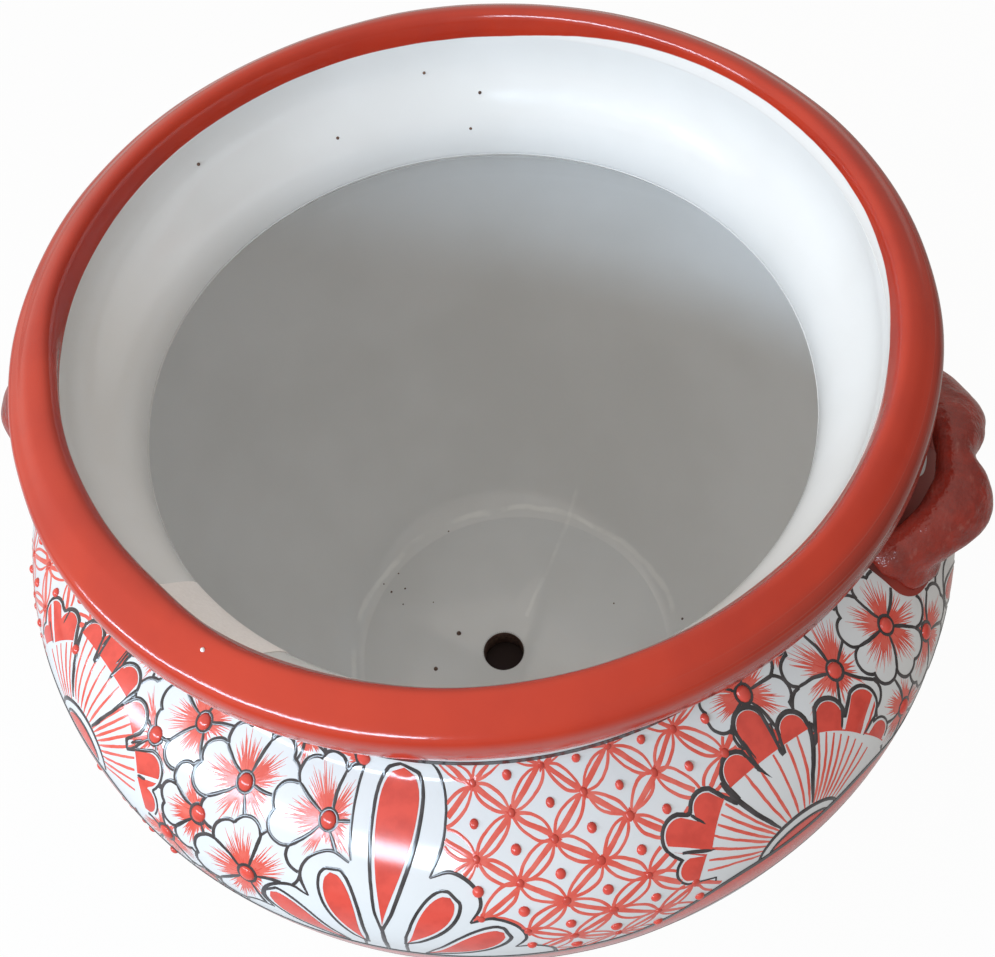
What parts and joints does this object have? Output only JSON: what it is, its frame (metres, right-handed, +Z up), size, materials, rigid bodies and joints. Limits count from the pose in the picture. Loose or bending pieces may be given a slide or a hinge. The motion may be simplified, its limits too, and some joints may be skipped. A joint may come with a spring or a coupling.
{
  "type": "ceramic planter",
  "caption": "Round-bellied glazed ceramic planter with a flared collar, rolled rim, off-centre drain hole and lobed strap handles on the shoulder.",
  "frame": {"origin": "on the ground at the middle of the foot, on the axis of the belly", "axes": "+Z up along the pot's axis, X across the two handles, -Y the side that faces the viewer"},
  "size_m": [0.477, 0.477, 0.402],
  "materials": {
    "white_glaze": "glossy glaze with painted ornament",
    "red_glaze": "glossy red glaze",
    "paper": "matt"
  },
  "bodies": {
    "root": {"floor_slab": "white_glaze", "lower_wall": "white_glaze", "upper_wall": "white_glaze", "neck_collar": "white_glaze", "rim_roll": "red_glaze", "handle_right": "red_glaze", "handle_left": "red_glaze", "blank_label": "paper"}
  },
  "joints": []
}
